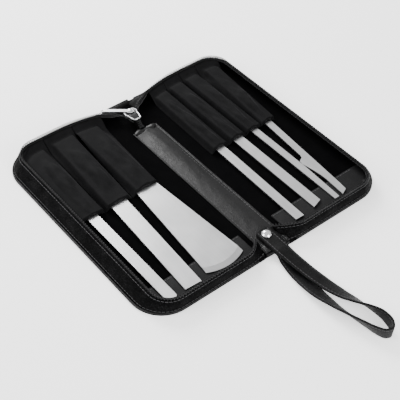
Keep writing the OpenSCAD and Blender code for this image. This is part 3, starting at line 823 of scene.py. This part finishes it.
# ---------------------------------------------------------------------------
# Spine strip. Glossy leather over both creases and the spine, crowned along its
# middle and stitched along its two long edges; its far end is folded over the
# end of the zipper.
# ---------------------------------------------------------------------------
strip_finish = leather("spine_leather", (0.0012, 0.0012, 0.0013), (0.012, 0.012, 0.0125),
                       0.28, 0.22, 0.0009, 0.00007)
strip_low, strip_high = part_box("spine_strip")
strip_z, strip_top = strip_low.z / mm, strip_high.z / mm
y0, y1 = strip_low.y / mm, 55.8
for side, sign, half in halves():
    outer = 10.2 if sign < 0 else 10.6
    edge = [(0, y0), (sign * outer, y0), (sign * outer, y1), (0, y1)]
    cuts_x, cuts_y = [sign * (0.9 * i) for i in range(1, 12)], [y0 + 2.4 * i for i in range(1, 61)]
    strip = plate(side + "_spine_strip", edge if sign > 0 else edge[::-1],
                  strip_z + 0.06, strip_top, strip_finish, cuts_x, cuts_y, 0.25)
    for v in strip.data.vertices:
        x, y = v.co.x / mm, v.co.y / mm
        if v.co.z > (strip_z + 0.4) * mm:
            waves = noise.noise(Vector((x * 0.10, y * 0.035, 0.7)))
            waves += 0.5 * noise.noise(Vector((x * 0.3, y * 0.12, 4.0)))
            wrinkle = noise.noise(Vector((x * 0.35, y * 0.3, 9.0)))
            near_end = math.exp(-((y - y0) / 14) ** 2)
            crown = 1.0 * max(0.0, math.cos(x / 9.2 * math.pi / 2)) ** 1.3
            stitch_dip = 0.22 * math.exp(-((abs(x) - outer + 1.6) / 0.45) ** 2)
            v.co.z += (0.28 * waves + 0.9 * near_end * wrinkle + crown - stitch_dip) * mm
    if sign < 0:
        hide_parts("spine_strip")
    over_crease(strip, half)
    rows = [outer - 1.6] if sign < 0 else [outer - 1.6, outer - 3.0]
    seams = [[(sign * x, y, strip_top + 0.02) for y in (y0 + 1, y1 - 1)] for x in rows]
    sewn = rows_of_stitches(side + "_strip_stitches", seams, 1.9, 0.9, 0.18, thread_finish)
    over_crease(sewn, half)

# the folded end, a roll across the strip with a nub over each half of the zipper
rings = []
for i in range(37):
    x = -9.4 + 18.8 * i / 36
    nub = math.exp(-((abs(x + slider_x * 0.5) - 5.4) / 2.3) ** 2)
    close = math.sqrt(max(0.04, 1 - (abs(x) / 9.5) ** 6))
    ring = []
    for k in range(14):
        a = 2 * math.pi * k / 14
        y = 54.4 + 0.35 * math.sin(x * 0.8) + (1.9 + 0.5 * nub) * close * math.cos(a)
        z = strip_top + 0.55 + (0.5 + 0.75 * nub) * close * math.sin(a)
        ring.append((x, y, max(z, strip_top + 0.05)))
    rings.append(ring)
end_fold = loft("spine_end_fold", rings, strip_finish)
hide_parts("spine_end_tab")
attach(end_fold, "spine")


# ---------------------------------------------------------------------------
# Joined end of the zipper. Both tapes and coils come out from under the folded
# strip and rise into the slider's tail.
# ---------------------------------------------------------------------------
def chain_rise(y):
    """How far the joined zipper has risen from the strip at y, in mm."""
    return (chain_z - strip_top - 0.5) / (1 + math.exp(-(y - 59.4) * 1.3))


chain_z, half_w = 8.65, 3.2
rings = []
for i in range(20):
    y = 55.5 + 0.8 * i
    z = strip_top + 0.5 + chain_rise(y)
    ring = [(-half_w, z), (-1.9, z - 0.02), (1.9, z - 0.02), (half_w, z), (half_w, z + 0.5),
            (2.2, z + 0.62), (0, z + 0.6), (-2.2, z + 0.62), (-half_w, z + 0.5)]
    rings.append([(slider_x + across, y, up) for across, up in ring])
joined = loft("joined_tape", rings, cloth_finish)
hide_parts("zipper_tail")
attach(joined, "spine")
wound = []
joined_step, joined_pitch = 0.055, 0.95
for j in range(250):
    y = 56.2 + joined_step * j
    z = strip_top + 1.6 + chain_rise(y)
    a = 2 * math.pi * j * joined_step / joined_pitch
    wound.append((slider_x + 1.7 * math.cos(a), y, z + 0.3 * math.sin(a)))
chain = loft("joined_coil", tube(wound, 0.26, 6), coil_finish)
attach(chain, "spine")


# ---------------------------------------------------------------------------
# Slider, pull tab and rivet. Die-cast slider: two plates on a wedge, a plated
# rim and post, and a dark ribbed face. The tab is stamped and nickel plated; the
# rivet is a plated dome pressed on its post through the strap.
# ---------------------------------------------------------------------------
def plated(name, low, high, rough):
    made = Finish(name, Metallic=1.0)
    wear = made.cloud(0.0012, 4.0)
    made.paint(Base_Color=made.blend_colour(wear, low, high), Roughness=rough + 0.14 * wear)
    made.relief(wear, 0.00002)
    return made.material


nickel_finish = plated("nickel_plate", (0.42, 0.42, 0.43), (0.70, 0.70, 0.71), 0.24)
dome_finish = plated("rivet_plate", (0.60, 0.60, 0.61), (0.85, 0.85, 0.86), 0.14)
dress("pull_tab", nickel_finish, 0.2, 35)
dress("rivet_post", nickel_finish, 0.05, 35)
dress("rivet_cap", dome_finish, 0.12, 35)

slider_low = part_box("slider_body")[0]
tail_y = slider_low.y / mm
plate_z, face_z = slider_low.z / mm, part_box("pull_tab")[0].z / mm - 0.55
shield_half = [
    # distance from the slider's tail, half its width there
    (0.0, 2.0), (0.5, 3.0), (3.6, 3.9), (7.6, 4.5), (8.6, 5.2), (10.4, 5.3), (12.2, 4.4), (13.0, 2.8),
]


def shield(inset):
    """The slider's outline, drawn in by inset mm."""
    shrink = 1 - inset / 5
    side_line = [(w * shrink, 6.8 + (y - 6.8) * (1 - inset / 6.6)) for y, w in shield_half]
    around = side_line + [(-x, y) for x, y in side_line[::-1]]
    return [(slider_x + x, tail_y + y) for x, y in around]


enamel = Finish("slider_dark_face", Metallic=0.6)
pits = enamel.cloud(0.0007)
enamel.paint(Base_Color=enamel.blend_colour(pits, (0.012, 0.012, 0.0125), (0.05, 0.05, 0.052)),
             Roughness=0.32 + 0.2 * pits)
enamel.relief(pits, 0.00003)
slider_parts = [
    plate("slider_lower_plate", shield(0.3), plate_z, plate_z + 0.9, enamel.material, [], [], 0.2),
    plate("slider_upper_plate", shield(0), face_z - 0.6, face_z, nickel_finish, [], [], 0.15),
]
rim = [[(*o, face_z - 0.1), (*o, face_z + 0.3), (*m, face_z + 0.48), (*i, face_z + 0.3),
        (*i, face_z - 0.1)] for o, m, i in zip(shield(0), shield(0.45), shield(0.95))]
slider_parts.append(loft("slider_rim", rim, nickel_finish, closed=True))
for hand, points in (("left", shield(0.1)[8:14]), ("right", shield(0.1)[2:8][::-1])):
    lip_t = 0.7 if hand == "left" else -0.7
    lip_z0, lip_z1 = plate_z + 0.4, plate_z + 1.35
    lip = [[(x, y, lip_z0), (x, y, lip_z1), (x + lip_t, y, lip_z1), (x + lip_t, y, lip_z0)]
           for x, y in points if y < tail_y + 8]
    slider_parts.append(loft("slider_lip_" + hand, lip, enamel.material))
post_y, post_z = tail_y + 10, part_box("pull_tab")[1].z / mm
post_turns = [(math.cos(math.pi * k / 8), math.sin(math.pi * k / 8)) for k in range(16)]
post_steps = [(1.0, plate_z + 0.5), (1.0, face_z - 0.3), (1.0, post_z), (1.55, post_z + 0.15),
              (1.7, post_z + 0.45), (1.3, post_z + 0.7)]
post = [[(slider_x + r * c, post_y + r * s, z) for c, s in post_turns] for r, z in post_steps]
slider_parts.append(loft("slider_post", post, nickel_finish))

rib_pitch, rib_base = 1.76, face_z - 0.05
ribbed = []
for i in range(49):
    x = -4.4 + 8.8 * i / 48
    reach_y = [y for y, w in shield_half if w * 0.84 >= abs(x)]
    y0, y1 = tail_y + max(0.9, min(reach_y)), tail_y + min(12.1, max(reach_y))
    top = face_z + 0.06 + 0.26 * (0.5 + 0.5 * math.cos(2 * math.pi * x / rib_pitch))
    at_x = slider_x + x
    ribbed.append([(at_x, y0, rib_base), (at_x, y1, rib_base), (at_x, y1, top), (at_x, y0, top)])
slider_parts.append(loft("slider_ribbed_face", ribbed, enamel.material))
for made in slider_parts:
    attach(made, "slider")
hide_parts("slider_body")


# ---------------------------------------------------------------------------
# Wrist strap. One long band of folded leather, stitched along both edges; its
# two ends lie on each other under the rivet, and it twists on edge at the loop.
# ---------------------------------------------------------------------------
root_low, root_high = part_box("strap_root")
strap_w, strap_t = 10.6, 1.55
root_x = (root_low.x + root_high.x) / 2 / mm
root_y0, root_y1 = root_low.y / mm, root_high.y / mm
strap_low_z = root_low.z / mm
strap_line = [
    # x, distance beyond the root, height and tilt of the band's flat side
    (-0.8, 0.5, 7.0, 0), (-0.8, 4, 6.7, 2), (0, 10, 5.4, 5), (1, 20, 4.2, 8), (2.2, 31, 3.6, 10),
    (3.6, 42, 3.6, 14), (5.4, 52, 4.2, 24), (7.8, 61, 5.0, 40), (10.2, 69, 5.6, 60),
    (12, 76, 5.8, 76), (12.4, 82, 5.8, 86), (11, 88, 5.8, 92), (7.6, 91.6, 5.8, 94),
    (3.8, 90.6, 5.7, 98), (1.2, 86, 5.6, 104), (-0.6, 79, 5.5, 112), (-2.4, 70, 5.1, 122),
    (-4.2, 60, 4.4, 134), (-5.2, 50, 3.4, 148), (-5.3, 40, 2.2, 162), (-4.6, 30, 1.3, 172),
    (-3.4, 20, 1.2, 178), (-2, 10, 2.2, 180), (-0.8, 4, 4.4, 180), (-0.8, 0.5, 5.1, 180),
]
upper_z, lower_z = strap_low_z + 2.6, strap_low_z + 0.85
under_rivet = [root_y1 - 0.6, -79, -84, -89]
stations = [(root_x, y, upper_z, 0) for y in under_rivet]
for x, away, z, tilt in strap_line:
    a = math.radians(tilt)
    floor_gap = (strap_w * abs(math.sin(a)) + 1.7 * abs(math.cos(a))) / 2 + 0.15
    stations.append((x, root_y0 - away, max(z, floor_gap), tilt))
stations += [(root_x, y, lower_z, 180) for y in under_rivet[::-1]]


def smooth_line(stops, parts=6):
    """A smooth line through stops of four numbers each."""
    out = []
    for i in range(len(stops) - 1):
        a, b, c, d = [Vector(stops[min(max(k, 0), len(stops) - 1)]) for k in (i - 1, i, i + 1, i + 2)]
        for j in range(parts):
            t = j / parts
            out.append(0.5 * (2 * b + (c - a) * t + (2 * a - 5 * b + 4 * c - d) * t ** 2
                              + (3 * b - a - 3 * c + d) * t ** 3))
    out.append(Vector(stops[-1]))
    return out


fine = smooth_line(stations)
middle = [Vector(p[:3]) for p in fine]
band_frames = []
for p, d in zip(fine, along(middle)):
    side_way = d.cross(Vector((0, 0, 1))).normalized()
    up_way = side_way.cross(d).normalized()
    a = math.radians(p[3])
    band_frames.append((side_way * math.cos(a) + up_way * math.sin(a),
                        up_way * math.cos(a) - side_way * math.sin(a)))

strap_finish = leather("strap_leather", (0.0016, 0.0016, 0.0017), (0.016, 0.016, 0.0165),
                       0.46, 0.1, 0.0009, 0.00008)
# the band's section, as shares of its width and thickness, with a groove for each seam
flat = [(-0.5, -0.18), (-0.5, 0.18), (-0.475, 0.42), (-0.42, 0.5), (-0.385, 0.38), (-0.33, 0.5),
        (-0.16, 0.53), (0, 0.54), (0.16, 0.53), (0.33, 0.5), (0.385, 0.38), (0.42, 0.5),
        (0.475, 0.42), (0.5, 0.18)]
section = flat + [(-a, -b) for a, b in flat[1:]][:13]
rings = []
for i, (p, (w, n)) in enumerate(zip(middle, band_frames)):
    end = min(i, len(middle) - 1 - i)
    narrow = 1 - 0.28 * max(0, (3 - end) / 3) ** 2
    ripple = 0.05 * math.sin(i * 0.8)
    rings.append([p + w * (a * strap_w * narrow) + n * (b * strap_t + ripple) for a, b in section])
strap = loft("wrist_strap", rings, strap_finish)
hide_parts("strap_root", "strap_loop")
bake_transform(strap)
seams = []
for edge in (-0.385, 0.385):
    for face in (1, -1):
        seams.append([p + w * (edge * strap_w) + n * (face * (strap_t / 2 - 0.1))
                      for p, (w, n) in list(zip(middle, band_frames))[3:-3]])
sewn = rows_of_stitches("strap_stitches", seams, 1.5, 0.8, 0.17, thread_finish)
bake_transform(sewn)


# ---------------------------------------------------------------------------
# Table. A plain pale sheet, larger than the view.
# ---------------------------------------------------------------------------
table_mesh = bpy.data.meshes.new("table")
table_mesh.from_pydata([(-4, -4, 0), (4, -4, 0), (4, 4, 0), (-4, 4, 0)], [], [(0, 1, 2, 3)])
table = bpy.data.objects.new("table", table_mesh)
bpy.context.collection.objects.link(table)
paper = Finish("pale_table", Roughness=0.9, Specular_IOR_Level=0.1, Emission_Color=(1, 1, 1, 1),
               Emission_Strength=0.8)
paper.paint(Base_Color=paper.blend_colour(paper.cloud(0.4), (0.975, 0.975, 0.975), (0.985, 0.985, 0.985)))
table_mesh.materials.append(paper.material)

bpy.context.view_layer.update()
